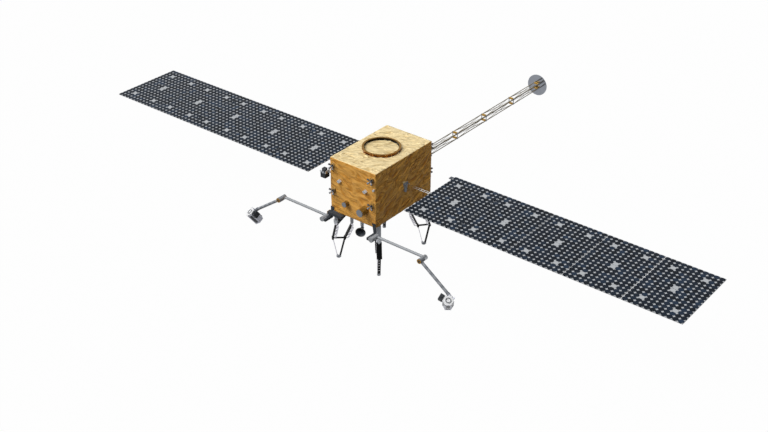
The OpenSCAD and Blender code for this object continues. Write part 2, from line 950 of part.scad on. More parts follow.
module shoulder_motors() {
    color("lightgray")
        for (side = [LEFT, RIGHT])
            at_side(side) {
                translate([shoulder_x, drum_front_y, arm_z])
                    along_y(drum_outer_len - run_clear, drum_r);
                translate([side_x, drum_front_y, arm_z - beam_h / 2])
                    cube([shoulder_standoff, drum_outer_len - drum_gap, beam_h]);
            }
}

module shoulder(side) {
    color("lightgray")
        at_side(side)
            translate([shoulder_x, drum_split_y, arm_z]) along_y(drum_inner_len, drum_r);
}

module upper_link(side) {
    color("silver")
        at_side(side)
            difference() {
                translate([shoulder_x, link_y, arm_z]) along_x(upper_len, upper_r);
                for (x = [shoulder_x, elbow_x])
                    translate([x, drum_split_y, arm_z]) along_y(drum_inner_len, drum_r + run_clear);
            }
}

module elbow(side) {
    color("lightgray")
        at_side(side)
            translate([elbow_x, drum_split_y, arm_z]) along_y(drum_inner_len, drum_r);
}

module forearm(side) {
    color("silver")
        union() {
            at_side(side)
                translate([elbow_x, drum_front_y, arm_z]) along_y(drum_outer_len - run_clear, drum_r);
            at_elbow(side) {
                cylinder(h = fore_len - wrist_back, r = fore_r);
                translate([0, 0, fore_len - wrist_back - wrist_collar_len])
                    cylinder(h = wrist_collar_len, r = wrist_collar_r);
            }
        }
}

module elbow_cap(side) {
    color("darkgoldenrod")
        at_side(side)
            translate([elbow_x, drum_front_y - cap_t, arm_z]) along_y(cap_t, drum_r * window_share);
}

// Tool: a hexagonal housing whose face plate looks up and forward

tool_offset = [97, -198, -20];
tool_flat_turn = 30;
hub_r = 50;
hub_len = 160;
camera_size = [134, 190, 170];
camera_stand = 16;
camera_foot_w = 100;
camera_turn = -120;
camera_lens_r = 34;
camera_lens_len = 30;
bracket_turn = 120;
tool_tab_size = [70, 36, 90];
tool_tab_drop = 32;

wrist = [
    elbow_x + fore_len * cos(fore_angle),
    fore_y,
    arm_z - fore_len * sin(fore_angle)
];

module at_tool(side) {
    at_side(side)
        translate(wrist + tool_offset) rotate([0, tool_lean, tool_turn]) children();
}

module hexagon(height) {
    rotate([0, 0, tool_flat_turn]) cylinder(h = height, d = tool_corners, $fn = 6);
}

tool_flat = tool_corners / 2 * cos(tool_flat_turn);

// Pockets in the tool's six faces, and posts on its corners
pocket_w = 118;
pocket_depth = 8;
pocket_margin = 46;
post_w = 30;
tool_tab_root = 2 * pocket_depth;

module tool_body(side) {
    color("gray") {
        at_tool(side) {
            difference() {
                translate([0, 0, -tool_len])
                    linear_extrude(tool_len - plate_t) {
                        rotate(tool_flat_turn) circle(d = tool_corners, $fn = 6);
                        for (turn = [0:60:300])
                            rotate(turn + tool_flat_turn)
                                translate([tool_corners / 2 - post_w / 2, 0]) square(post_w, center = true);
                    }
                for (turn = [0:60:300])
                    rotate([0, 0, turn])
                        translate([tool_flat - pocket_depth, -pocket_w / 2, pocket_margin - tool_len])
                            cube([2 * pocket_depth, pocket_w, tool_len - plate_t - 2 * pocket_margin]);
            }
            rotate([0, 0, bracket_turn])
                translate([tool_flat - tool_tab_root, -tool_tab_size.y / 2, -tool_tab_size.z - tool_tab_drop])
                    cube([tool_tab_size.x + tool_tab_root, tool_tab_size.y, tool_tab_size.z]);
        }
        at_elbow(side)
            translate([0, 0, fore_len - wrist_back + run_clear]) cylinder(h = hub_len, r = hub_r);
    }
}

module tool_plate(side) {
    color("white")
        at_tool(side) {
            translate([0, 0, -plate_t]) hexagon(plate_t);
            difference() {
                translate([0, 0, -overrun]) cylinder(h = tool_ring_h + overrun, r = tool_ring_r);
                cylinder(h = tool_ring_h + overrun, r = tool_ring_r - tool_ring_w);
            }
        }
}

module tool_camera(side) {
    color("black")
        at_tool(side)
            rotate([0, 0, camera_turn]) {
                translate([tool_flat + camera_stand, -camera_size.y / 2, -camera_size.z - plate_t]) {
                    cube(camera_size);
                    translate([camera_size.x / 2, camera_size.y / 2, camera_size.z - overrun])
                        cylinder(h = camera_lens_len + overrun, r = camera_lens_r);
                }
                translate([tool_flat - pocket_depth, -camera_foot_w / 2, pocket_depth - camera_size.z - plate_t])
                    cube([
                        2 * pocket_depth + camera_stand,
                        camera_foot_w,
                        camera_size.z - pocket_margin - 2 * pocket_depth
                    ]);
            }
}

bus();
adapter_ring();
front_thrusters();
rear_thrusters();
sun_sensors();
sensor_barrels();
sensor_windows();
horn();
horn_post();
side_sensor();
side_bracket();
belly_antenna();
mast_base();
mast_longerons();
mast_battens();
mast_disc();
drive_housings();
leg_hips();
leg_knuckles();
leg_upper_struts();
leg_lacing();
leg_knees();
leg_lower_struts();
leg_feet();
arm_brackets();
foil_covers();
shoulder_motors();
drive_head(RIGHT);  // right_drive_head
yoke(RIGHT);  // right_yoke
solar_panel(RIGHT, 1);  // right_panel_1
solar_panel(RIGHT, 2);  // right_panel_2
solar_panel(RIGHT, 3);  // right_panel_3
solar_panel(RIGHT, 4);  // right_panel_4
solar_panel(RIGHT, 5);  // right_panel_5
drive_head(LEFT);  // left_drive_head
yoke(LEFT);  // left_yoke
solar_panel(LEFT, 1);  // left_panel_1
solar_panel(LEFT, 2);  // left_panel_2
solar_panel(LEFT, 3);  // left_panel_3
solar_panel(LEFT, 4);  // left_panel_4
solar_panel(LEFT, 5);  // left_panel_5
shoulder(RIGHT);  // right_shoulder
upper_link(RIGHT);  // right_upper_link
elbow(RIGHT);  // right_elbow
forearm(RIGHT);  // right_forearm
elbow_cap(RIGHT);  // right_elbow_cap
tool_body(RIGHT);  // right_tool_body
tool_plate(RIGHT);  // right_tool_plate
tool_camera(RIGHT);  // right_tool_camera
shoulder(LEFT);  // left_shoulder
upper_link(LEFT);  // left_upper_link
elbow(LEFT);  // left_elbow
forearm(LEFT);  // left_forearm
elbow_cap(LEFT);  // left_elbow_cap
tool_body(LEFT);  // left_tool_body
tool_plate(LEFT);  // left_tool_plate
tool_camera(LEFT);  // left_tool_camera
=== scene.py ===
import math

import bmesh
import bpy
from mathutils import Matrix, Vector, noise


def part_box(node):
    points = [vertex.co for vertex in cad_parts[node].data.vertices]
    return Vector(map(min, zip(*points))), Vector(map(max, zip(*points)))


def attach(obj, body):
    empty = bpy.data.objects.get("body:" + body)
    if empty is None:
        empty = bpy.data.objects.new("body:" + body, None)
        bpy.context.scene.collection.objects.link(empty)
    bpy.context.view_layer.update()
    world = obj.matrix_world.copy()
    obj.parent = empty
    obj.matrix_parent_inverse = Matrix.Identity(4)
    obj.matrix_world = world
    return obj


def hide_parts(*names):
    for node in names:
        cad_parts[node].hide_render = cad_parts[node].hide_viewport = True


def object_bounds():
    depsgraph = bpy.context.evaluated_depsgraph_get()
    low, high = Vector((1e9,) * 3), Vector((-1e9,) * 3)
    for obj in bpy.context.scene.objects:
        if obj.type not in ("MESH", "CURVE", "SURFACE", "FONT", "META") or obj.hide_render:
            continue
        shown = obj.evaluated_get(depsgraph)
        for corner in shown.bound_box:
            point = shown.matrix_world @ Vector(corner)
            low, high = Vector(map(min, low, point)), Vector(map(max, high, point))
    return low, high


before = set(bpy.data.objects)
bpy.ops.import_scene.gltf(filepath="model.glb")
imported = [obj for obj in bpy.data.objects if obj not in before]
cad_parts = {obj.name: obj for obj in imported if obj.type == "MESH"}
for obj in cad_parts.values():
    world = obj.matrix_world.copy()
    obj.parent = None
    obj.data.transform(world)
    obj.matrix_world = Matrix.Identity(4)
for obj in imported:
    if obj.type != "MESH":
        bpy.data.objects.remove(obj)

cad_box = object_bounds()

# Bus blanket
# The bus is a box of honeycomb panels wrapped in thermal blankets of gold-coloured polyimide film.
# The film is loose between its lacing points, so it lies in soft creases and rises in small tents where a
# fitting comes through it.

MM = 0.001
bus_low, bus_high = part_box("bus")
bus_mid = (bus_low + bus_high) / 2
bus_half = (bus_high - bus_low) / 2

FILM_GRID = 20 * MM
FILM_EDGE_R = 20 * MM
FILM_EDGE_BAND = 90 * MM
# Direction in which the creases run on the sides, on the ends, and on the top and the underside
film_runs = (Vector((0, 0.9, 0.43)), Vector((0.95, 0, -0.3)), Vector((0.78, 0.63, 0)))
# How slack the film is on those faces, and the share of its creases that is left at their edges
film_slack = (1.5, 0.6, 1.1)
FILM_EDGE_SHARE = 0.12
# Creases wander by this many metres, so many times per metre, and are lifted so that most stand proud
FILM_WANDER = 0.17
FILM_WANDER_RATE = 1.6
FILM_PROUD = 0.28
# Seed of the noise by which the creases wander, so that each run gives the same film
FILM_SEED = 1
noise.seed_set(FILM_SEED)
# Creases as (length, pitch, height, seed)
film_creases = (
    (620 * MM, 260 * MM, 44 * MM, 3.1),
    (360 * MM, 140 * MM, 30 * MM, 7.7),
    (170 * MM, 70 * MM, 8 * MM, 5.3),
)
head_low, head_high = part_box("right_drive_head")
wing_z = (head_low.z + head_high.z) / 2
pod_x = 0.85 * bus_half.x
pod_heights = [bus_mid.z + share * 2 * bus_half.z for share in (0.369, -0.096)]
# Each tent has folds running down from its tip, of this share of its height
TENT_FOLDS = 7
TENT_FOLD_SHARE = 0.35
# Reach and height of a tent
WING_TENT = (430 * MM, 36 * MM)
POD_TENT = (150 * MM, 30 * MM)
# Tents as (axis that the face looks along, middle, reach, height)
film_tents = [(0, Vector((s * bus_half.x, 0, wing_z)), *WING_TENT) for s in (-1, 1)]
for pod_y in (bus_low.y, bus_high.y):
    for pod_side in (-pod_x, pod_x):
        film_tents += [(1, Vector((pod_side, pod_y, z)), *POD_TENT) for z in pod_heights]


def linear(hex_colour):
    """Linear RGBA of an sRGB hex colour."""
    parts = [int(hex_colour[i:i + 2], 16) / 255 for i in (1, 3, 5)]
    return [c / 12.92 if c <= 0.04045 else ((c + 0.055) / 1.055) ** 2.4 for c in parts] + [1.0]


def add_node(tree, kind, inputs, **settings):
    """Adds a shader node. Inputs are values, or other nodes' sockets to link; settings are its options."""
    node = tree.nodes.new("ShaderNode" + kind)
    for key, value in settings.items():
        setattr(node, key, value)
    for key, value in inputs.items():
        if isinstance(value, bpy.types.NodeSocket):
            tree.links.new(value, node.inputs[key])
        else:
            node.inputs[key].default_value = value
    return node


def start_material(name, sockets):
    """A new material, its tree, its shader, and the coordinates of the piece as it was built."""
    material = bpy.data.materials.new(name)
    material.use_nodes = True
    tree = material.node_tree
    shader = tree.nodes["Principled BSDF"]
    for key, value in sockets.items():
        shader.inputs[key].default_value = value
    place = add_node(tree, "TexCoord", {}).outputs["Object"]
    return material, tree, shader, place


def per(size_mm):
    """Scale of a pattern whose grains are this many millimetres wide."""
    return 1 / (size_mm * MM)


# Width of the film's folds and of the crumple on them, and how many times longer than wide both are
FILM_FOLD_MM = 205
FILM_CRUMPLE_MM = 95
FILM_DRAWN = 2.7


def film(name, run, rise_mm, shade, light, sockets):
    """Crumpled film: folds along the run, this high, and a fine crumple over them, lighter along the fold
    ridges as a painted highlight.
    """
    material, tree, shader, place = start_material(name, sockets)
    turn = run.to_track_quat("X", "Z").to_euler()
    drawn = add_node(tree, "Mapping", {
        "Vector": place, "Rotation": turn, "Scale": (FILM_DRAWN, 1, 1)}, vector_type="TEXTURE")
    fold = add_node(tree, "TexNoise", {
        "Vector": drawn.outputs["Vector"], "Scale": per(FILM_FOLD_MM), "Detail": 1.5, "Distortion": 1.2})
    middle = add_node(tree, "Math", {0: fold.outputs["Fac"], 1: 0.5}, operation="SUBTRACT")
    ridge = add_node(tree, "Math", {0: middle.outputs[0]}, operation="ABSOLUTE")
    high = add_node(tree, "MapRange", {
        "Value": ridge.outputs[0], "From Max": 0.2, "To Min": 1.0, "To Max": 0.0})
    crumple = add_node(tree, "TexNoise", {
        "Vector": drawn.outputs["Vector"], "Scale": per(FILM_CRUMPLE_MM), "Detail": 4.0, "Distortion": 0.5})
    tone = add_node(tree, "Mix", {
        "Factor": high.outputs["Result"], "A": linear(shade), "B": linear(light)}, data_type="RGBA")
    folds = add_node(tree, "Bump", {
        "Height": high.outputs["Result"], "Distance": rise_mm * MM, "Strength": 1.0})
    relief = add_node(tree, "Bump", {
        "Height": crumple.outputs["Fac"], "Distance": rise_mm / 2 * MM, "Strength": 0.55,
        "Normal": folds.outputs["Normal"]})
    tree.links.new(tone.outputs["Result"], shader.inputs["Base Color"])
    tree.links.new(relief.outputs["Normal"], shader.inputs["Normal"])
    return material


# Aluminised polyimide film: amber and satin, with a weak metal sheen.
# The deck's copy is paler as painted top light; the sides' copy is darker between its folds as painted shade.
film_top = film("polyimide film, painted top light", film_runs[2], 30, "#C8AE79", "#E8D4A4",
                {"Metallic": 0.1, "Roughness": 0.5, "Specular IOR Level": 0.25})
film_end = film("polyimide film, amber", film_runs[1], 11, "#C58734", "#DFA753",
                {"Metallic": 0.04, "Roughness": 0.46, "Specular IOR Level": 0.18})
film_side = film("polyimide film, deep amber", film_runs[0], 44, "#B0762C", "#DFA954",
                 {"Metallic": 0.1, "Roughness": 0.46, "Specular IOR Level": 0.06})


def new_piece(name, bm, body, materials, sharp=35):
    """Turns a bmesh into a piece that rides on a body, smooth up to the sharp angle."""
    mesh = bpy.data.meshes.new(name)
    bmesh.ops.recalc_face_normals(bm, faces=bm.faces)
    bm.to_mesh(mesh)
    bm.free()
    for material in materials:
        mesh.materials.append(material)
    mesh.polygons.foreach_set("use_smooth", [True] * len(mesh.polygons))
    mesh.set_sharp_from_angle(angle=math.radians(sharp))
    piece = bpy.data.objects.new(name, mesh)
    bpy.context.scene.collection.objects.link(piece)
    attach(piece, body)
    return piece


def film_lift(p, face):
    """Height of the film over a point of the face that looks along the given axis."""
    run = film_runs[face]
    across = run.cross(Vector([float(i == face) for i in range(3)]))
    edge = min(bus_half[i] - abs(p[i]) for i in range(3) if i != face)
    ease = min(1, max(0, edge / FILM_EDGE_BAND))
    drift = p + noise.noise_vector(p * FILM_WANDER_RATE) * FILM_WANDER
    u, v = drift.dot(run), drift.dot(across)
    lift = 0
    for length, pitch, height, seed in film_creases:
        lift += height * (FILM_PROUD - abs(noise.noise((u / length, v / pitch, seed + face))))
    lift *= film_slack[face] * (FILM_EDGE_SHARE + (1 - FILM_EDGE_SHARE) * ease)
    for tent_face, middle, reach, height in film_tents:
        arm = p + bus_mid - middle
        if tent_face == face and arm.length < reach:
            spoke = math.atan2(arm.z, arm.x + arm.y)
            fold = 1 + TENT_FOLD_SHARE * math.cos(TENT_FOLDS * spoke)
            lift += height * (1 - arm.length / reach) ** 2 * fold
    return lift


def film_point(p):
    """A point of the plain box, moved to the film's rounded edges and creases."""
    inner = Vector([max(FILM_EDGE_R - h, min(h - FILM_EDGE_R, c)) for c, h in zip(p, bus_half)])
    normal = (p - inner).normalized()
    face = max(range(3), key=lambda i: abs(normal[i]))
    return bus_mid + inner + normal * (FILM_EDGE_R + film_lift(p, face))


bm = bmesh.new()
film_counts = [max(2, round(2 * h / FILM_GRID)) for h in bus_half]
for axis in range(3):
    b, c = (axis + 1) % 3, (axis + 2) % 3
    for sign in (-1, 1):
        rows = []
        for i in range(film_counts[b] + 1):
            row = []
            for j in range(film_counts[c] + 1):
                p = Vector((0, 0, 0))
                p[axis] = sign * bus_half[axis]
                p[b] = (2 * i / film_counts[b] - 1) * bus_half[b]
                p[c] = (2 * j / film_counts[c] - 1) * bus_half[c]
                row.append(bm.verts.new(p))
            rows.append(row)
        for low, high in zip(rows, rows[1:]):
            for j in range(film_counts[c]):
                quad = bm.faces.new((low[j], low[j + 1], high[j + 1], high[j]))
                quad.material_index = axis if sign > 0 or axis < 2 else 0
bmesh.ops.remove_doubles(bm, verts=bm.verts, dist=FILM_GRID / 100)
for vert in bm.verts:
    vert.co = film_point(vert.co)
films = [film_side, film_end, film_top]
blanket = new_piece("bus_blanket", bm, "bus_structure", films, sharp=80)
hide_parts("bus")

# Launch adapter ring
# A machined aluminium ring on the top deck, the seat of the launcher's clamp band. It has a bronze-coloured
# chromate finish and is bolted down through its foot flange, inside and outside its wall.

ring_low, ring_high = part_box("adapter_ring")
# Streaks of painted reflection run up the wall: their width, and how much the pattern is drawn out in height
RING_STREAK_MM = 46
RING_STREAK_DRAWN = 0.08
# Within this radius the wall is the ring's inside, painted dark as shade
RING_PAINTED_SHADE_R = ring_high.x - 41 * MM
# Chromated aluminium: bright bronze metal. Its colour holds painted light: brown, orange and white streaks on
# the
# wall as painted reflections and glints, old gold on the rim as painted top light, and near black inside as
# painted shade.
ring_bronze, tree, shader, place = start_material(
    "chromated aluminium, bronze", {"Metallic": 0.85, "Roughness": 0.26})
tall = add_node(tree, "Mapping", {"Vector": place, "Scale": (1, 1, RING_STREAK_DRAWN)})
reflection_streak = add_node(tree, "TexNoise", {
    "Vector": tall.outputs["Vector"], "Scale": per(RING_STREAK_MM), "Detail": 3.0})
wall_painted_reflection = add_node(tree, "ValToRGB", {"Fac": reflection_streak.outputs["Fac"]})
wall_painted_reflection.color_ramp.elements[0].position = 0.34
wall_painted_reflection.color_ramp.elements[0].color = linear("#1E1003")
wall_painted_reflection.color_ramp.elements[1].position = 0.72
wall_painted_reflection.color_ramp.elements[1].color = linear("#FFF0C4")
wall_painted_reflection.color_ramp.elements.new(0.5).color = linear("#6A3A06")
wall_painted_reflection.color_ramp.elements.new(0.6).color = linear("#AD6C12")
at = add_node(tree, "SeparateXYZ", {"Vector": place})
flat = add_node(tree, "VectorMath", {0: place, 1: (1, 1, 0)}, operation="MULTIPLY")
reach = add_node(tree, "VectorMath", {0: flat.outputs["Vector"]}, operation="LENGTH")
inside = add_node(tree, "Math", {0: reach.outputs["Value"], 1: RING_PAINTED_SHADE_R}, operation="LESS_THAN")
rim = add_node(tree, "Math", {0: at.outputs["Z"], 1: ring_high.z - 1 * MM}, operation="GREATER_THAN")
dark = add_node(tree, "Mix", {
    "Factor": inside.outputs[0], "A": wall_painted_reflection.outputs["Color"], "B": linear("#1C1405")}, data_type="RGBA")
face = add_node(tree, "Mix", {
    "Factor": rim.outputs[0], "A": dark.outputs["Result"], "B": linear("#86600C")}, data_type="RGBA")
tree.links.new(face.outputs["Result"], shader.inputs["Base Color"])


def dress(material, *nodes):
    """Gives CAD nodes a finish."""
    for node in nodes:
        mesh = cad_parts[node].data
        mesh.materials.clear()
        mesh.materials.append(material)


def add_rod(bm, start, end, r, sides=12):
    """A round bar from one point to another."""
    axis = end - start
    place = Matrix.Translation((start + end) / 2) @ axis.to_track_quat("Z", "Y").to_matrix().to_4x4()
    bmesh.ops.create_cone(
        bm, cap_ends=True, segments=sides, radius1=r, radius2=r, depth=axis.length, matrix=place)


def mottled(name, dark, light, grain_mm, bump_mm, sockets, stretch=(1, 1, 1)):
    """A material whose colour drifts between two tones, with a fine relief of the given height."""
    material, tree, shader, place = start_material(name, sockets)
    drawn = add_node(tree, "Mapping", {"Vector": place, "Scale": stretch})
    grain = add_node(tree, "TexNoise", {
        "Vector": drawn.outputs["Vector"], "Scale": per(grain_mm), "Detail": 5.0})
    tone = add_node(tree, "Mix", {
        "Factor": grain.outputs["Fac"], "A": linear(dark), "B": linear(light)}, data_type="RGBA")
    bump = add_node(tree, "Bump", {"Height": grain.outputs["Fac"], "Distance": bump_mm * MM, "Strength": 1.0})
    tree.links.new(tone.outputs["Result"], shader.inputs["Base Color"])
    tree.links.new(bump.outputs["Normal"], shader.inputs["Normal"])
    return material


dress(ring_bronze, "adapter_ring")
RING_BOLTS = 48
RING_BOLT_R = 8 * MM
RING_FLANGE = 16 * MM
# Bolt circles outside and inside the wall, in from the ring's edge
ring_bolt_insets = (9 * MM, 53 * MM)
bm = bmesh.new()
for radius in [ring_high.x - inset for inset in ring_bolt_insets]:
    for k in range(RING_BOLTS):
        turn = 2 * math.pi * k / RING_BOLTS
        foot = Vector((radius * math.cos(turn), radius * math.sin(turn), ring_low.z + RING_FLANGE))
        add_rod(bm, foot, foot + Vector((0, 0, RING_BOLT_R)), RING_BOLT_R, sides=6)

# Machined aluminium fittings: even grey, satin, with a faint turned grain.
fitting_grey = mottled("machined aluminium", "#7E8288", "#989CA2", 18, 0.15,
                       {"Metallic": 0.5, "Roughness": 0.42})
new_piece("ring_bolts", bm, "bus_structure", [fitting_grey])

# Thruster pods
# Each end face carries four pods of four small bell nozzles, machined from a heat-proof alloy and bolted to a
# square foot in a boot of film painted brown as shade. The nozzles lean outwards on the diagonals, so the pod
# is a grey cross.

POD_FOOT = (96 * MM, 96 * MM, 22 * MM)
POD_FOOT_RISE = 10 * MM
POD_HEIGHT = 95 * MM
NOZZLE_DROP = 24 * MM
NOZZLE_LEAN = math.radians(62)
# The boot has few sides, so that its film looks folded
BOOT_SIDES = 9
# Hub and film boot as (radius, height over the bus)
hub_outline = [(r * MM, h * MM) for r, h in ((34, 0), (34, 70), (26, 92), (12, 95))]
boot_outline = [(r * MM, h * MM) for r, h in ((108, 0), (96, 16), (60, 40), (40, 66), (36, 66))]
# Bell as (radius, distance from the throat), outside and then back inside
nozzle_outline = [(r * MM, h * MM) for r, h in (
    (20, 0), (20, 30), (13, 38), (13, 46), (24, 70), (30, 98), (33, 126),
    (30, 126), (27, 98), (21, 70), (9, 46), (0.5, 46),
)]


def add_lathe(bm, outline, place, sides=20, hoop=False):
    """Turns an outline of (radius, height) points round the local Z axis. A hoop's outline closes on itself;
    any other piece is closed at its ends."""
    rings = []
    for r, h in outline:
        turns = [2 * math.pi * k / sides for k in range(sides)]
        rings.append([bm.verts.new(place @ Vector((r * math.cos(t), r * math.sin(t), h))) for t in turns])
    for low, high in zip(rings, rings[1:] + rings[:1] * hoop):
        for k in range(sides):
            bm.faces.new((low[k - 1], low[k], high[k], high[k - 1]))
    if not hoop:
        bm.faces.new(rings[0])
        bm.faces.new(rings[-1])


def add_block(bm, size, place, bevel):
    """A block with its middle at the local origin and its edges eased."""
    made = bmesh.ops.create_cube(bm, size=1, matrix=place @ Matrix.Diagonal((*size, 1)))
    edges = {edge for vert in made["verts"] for edge in vert.link_edges}
    bmesh.ops.bevel(bm, geom=list(edges), offset=bevel, segments=2, affect="EDGES", profile=0.5)


# Polyimide film painted brown as shade, for film in the shade of barrels, boots and covers: satin, with the
# same crumple as the bus.
film_painted_shade_brown = film("polyimide film, painted shade brown", Vector((0, 1, 0)), 12, "#5C4016", "#94702E",
                  {"Metallic": 0.2, "Roughness": 0.42, "Specular IOR Level": 0.2})
# Fired nickel alloy: dull grey with darker patches.
nozzle_alloy = mottled("nickel alloy, fired", "#3C3E42", "#84868A", 26, 0.1,
                       {"Metallic": 0.5, "Roughness": 0.38})
for end, pod_y, facing in (("front", bus_low.y, 1), ("rear", bus_high.y, -1)):
    bm = bmesh.new()
    for pod_side in (-pod_x, pod_x):
        for pod_z in pod_heights:
            pod = Matrix.Translation((pod_side, pod_y, pod_z)) @ Matrix.Rotation(facing * math.pi / 2, 4, "X")
            add_block(bm, POD_FOOT, pod @ Matrix.Translation((0, 0, POD_FOOT_RISE)), bevel=3 * MM)
            add_lathe(bm, hub_outline, pod)
            for k in range(4):
                turn = (Matrix.Rotation(math.radians(45 + 90 * k), 4, "Z")
                        @ Matrix.Rotation(NOZZLE_LEAN, 4, "Y"))
                root = Matrix.Translation((0, 0, POD_HEIGHT - NOZZLE_DROP))
                add_lathe(bm, nozzle_outline, pod @ root @ turn)
    pods = new_piece(end + "_thruster_bells", bm, "bus_structure", [nozzle_alloy])
    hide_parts(end + "_thrusters")
    bm = bmesh.new()
    for pod_side in (-pod_x, pod_x):
        for pod_z in pod_heights:
            pod = Matrix.Translation((pod_side, pod_y, pod_z)) @ Matrix.Rotation(facing * math.pi / 2, 4, "X")
            add_lathe(bm, boot_outline, pod, sides=BOOT_SIDES)
    new_piece(end + "_thruster_boots", bm, "bus_structure", [film_painted_shade_brown], sharp=25)

# Sun sensors and horizon knobs
# Small canted aluminium heads on the front face, painted pale, each with a dark glass slit, and round knobs
# beside them. All are bolted to the bus through the film.

SUN_X = 0.569 * bus_half.x
SUN_Z = bus_mid.z + 0.128 * 2 * bus_half.z
SUN_DEPTH = 84 * MM
SUN_SLIT = (62 * MM, 4 * MM, 16 * MM)
# Satin white paint over aluminium: pale grey, slightly uneven.
pale_paint = mottled("aluminium, pale paint", "#B9BCC0", "#D3D5D8", 30, 0.1,
                     {"Roughness": 0.5, "Specular IOR Level": 0.3})
dress(pale_paint, "sun_sensors")
# Dark filter glass: grey-black with a clean gloss.
dark_glass = mottled("filter glass, grey", "#23272C", "#343A41", 80, 0.0,
                     {"Roughness": 0.12, "Specular IOR Level": 0.3})
bm = bmesh.new()
for side in (-1, 1):
    face = (Matrix.Translation((side * SUN_X, bus_low.y - SUN_DEPTH, SUN_Z))
            @ Matrix.Rotation(math.pi / 4, 4, "Y"))
    add_block(bm, SUN_SLIT, face, bevel=1 * MM)
new_piece("sun_sensor_glass", bm, "bus_structure", [dark_glass])

# Sensor barrels
# Two instrument barrels stand out of the front face, wrapped in film painted darker than the bus's as shade.
# Each ends in a flat grey cover set in a thin rim.

bm = bmesh.new()
# Barrels as (x, z, radius, length to the cover)
barrels = (
    (-0.254 * bus_half.x, bus_mid.z - 0.236 * 2 * bus_half.z, 86 * MM, 156 * MM),
    (0.5506 * bus_half.x, bus_mid.z - 0.2226 * 2 * bus_half.z, 126 * MM, 282 * MM),
)
BARREL_SIDES = 72
BARREL_STEP = 9 * MM
# The wrap is slack by this much, and pulled in by half of that. Its waves are so many per metre, round the
# barrel and along it.
WRAP_SLACK = 6 * MM
WRAP_ROUND = 14
WRAP_ALONG = 26
for x, z, r, length in barrels:
    rings = []
    steps = round(length / BARREL_STEP)
    for i in range(steps + 1):
        ring = []
        for k in range(BARREL_SIDES):
            turn = 2 * math.pi * k / BARREL_SIDES
            p = Vector((x + r * math.cos(turn), bus_low.y - length * i / steps, z + r * math.sin(turn)))
            ripple = noise.noise((p.x * WRAP_ROUND, p.y * WRAP_ALONG, p.z * WRAP_ROUND))
            wave = ripple * WRAP_SLACK - WRAP_SLACK / 2
            grow = (r + wave * math.sin(math.pi * i / steps)) / r
            ring.append(bm.verts.new((x + (p.x - x) * grow, p.y, z + (p.z - z) * grow)))
        rings.append(ring)
    for low, high in zip(rings, rings[1:]):
        for k in range(BARREL_SIDES):
            bm.faces.new((low[k - 1], low[k], high[k], high[k - 1]))
    bm.faces.new(rings[0])
    bm.faces.new(rings[-1])
wraps = new_piece("barrel_wraps", bm, "bus_structure", [film_painted_shade_brown], sharp=60)
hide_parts("sensor_barrels")
# Anodised aluminium covers: flat mid grey, fine brushed grain.
cover_grey = mottled("anodised aluminium, grey", "#7C8086", "#888C92", 25, 0.08,
                     {"Roughness": 0.5, "Specular IOR Level": 0.2})
dress(cover_grey, "sensor_windows")

# Horn antenna
# A spun aluminium horn under the front edge, painted slate inside and out, on a grey post that is bolted to
# the underside of the bus. Its lip is left bare, and a milled sleeve covers the post's root.

# Slate paint on the horn: dark blue-grey, dry.
slate_paint = mottled("aluminium, slate paint", "#24282D", "#3A4048", 16, 0.12,
                      {"Roughness": 0.5, "Specular IOR Level": 0.2})
dress(slate_paint, "horn")
dress(fitting_grey, "horn_post")
HORN_THROAT = Vector((0.225 * bus_half.x, bus_low.y + 170 * MM, bus_low.z - 345 * MM))
HORN_TURN = math.radians(28)
HORN_LEN = 230 * MM
HORN_R = 160 * MM
horn_place = (Matrix.Translation(HORN_THROAT) @ Matrix.Rotation(HORN_TURN, 4, "Z")
              @ Matrix.Rotation(math.pi / 2, 4, "X"))
# Rolled lip as (radius, height) from the horn's mouth
lip_outline = [(HORN_R + r * MM, HORN_LEN + h * MM) for r, h in (
    (-9, -4), (1, -10), (3, -5), (3, 1), (-4, 3), (-11, 1))]
bm = bmesh.new()
add_lathe(bm, lip_outline, horn_place, sides=64, hoop=True)
# Bare spun aluminium: grey, warmed by a painted reflection of the film near it.
bare_lip = mottled("spun aluminium, bare", "#6E6A64", "#8C8880", 12, 0.1,
                   {"Metallic": 0.6, "Roughness": 0.4})
new_piece("horn_lip", bm, "bus_structure", [bare_lip])
# Milled aluminium: bright silver with a fine cutter grain.
milled = mottled("aluminium, milled", "#9FA3A8", "#C3C6CA", 10, 0.1, {"Metallic": 0.55, "Roughness": 0.36})
post_low, post_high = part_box("horn_post")
# Sleeve as (radius, height from the underside of the bus)
sleeve = [(r * MM, h * MM) for r, h in (
    (74, 0), (74, -14), (58, -20), (58, -250), (50, -264), (36, -264))]
post_top = Vector(((post_low.x + post_high.x) / 2, (post_low.y + post_high.y) / 2, bus_low.z))
bm = bmesh.new()
add_lathe(bm, sleeve, Matrix.Translation(post_top), sides=40)
new_piece("horn_post_sleeve", bm, "bus_structure", [milled])

# Camera head
# A black camera at the left front edge: a finned box with a lens barrel over it, held by a silver deck and
# an arm to the side of the bus. The stub antenna under the bus has the same paint.

# Matt black space paint: nearly black, with a dry bloom.
black_paint = mottled("aluminium, matt black paint", "#17191C", "#2A2E33", 14, 0.12,
                      {"Roughness": 0.6, "Specular IOR Level": 0.25})
dress(black_paint, "side_sensor")
dress(milled, "side_bracket")
dress(black_paint, "belly_antenna")

# Mast
# A deployed lattice mast of composite longerons on square batten frames with gold-chromated sleeves. Thin
# stays cross each bay on all four sides, and a polished plate closes the tip.

# Composite tube: warm pale grey with a faint lengthwise grain.
mast_tube = mottled("glass-fibre tube", "#7A7363", "#968E7D", 20, 0.1,
                    {"Roughness": 0.5, "Specular IOR Level": 0.25}, stretch=(1, 0.1, 1))
dress(mast_tube, "mast_longerons")
dress(fitting_grey, "mast_battens")
# Polished plate: grey mirror, faintly clouded.
polished_plate = mottled("aluminium, polished", "#82868E", "#8F939B", 120, 0.02,
                         {"Metallic": 0.9, "Roughness": 0.1})
dress(polished_plate, "mast_disc")
dress(fitting_grey, "mast_base")

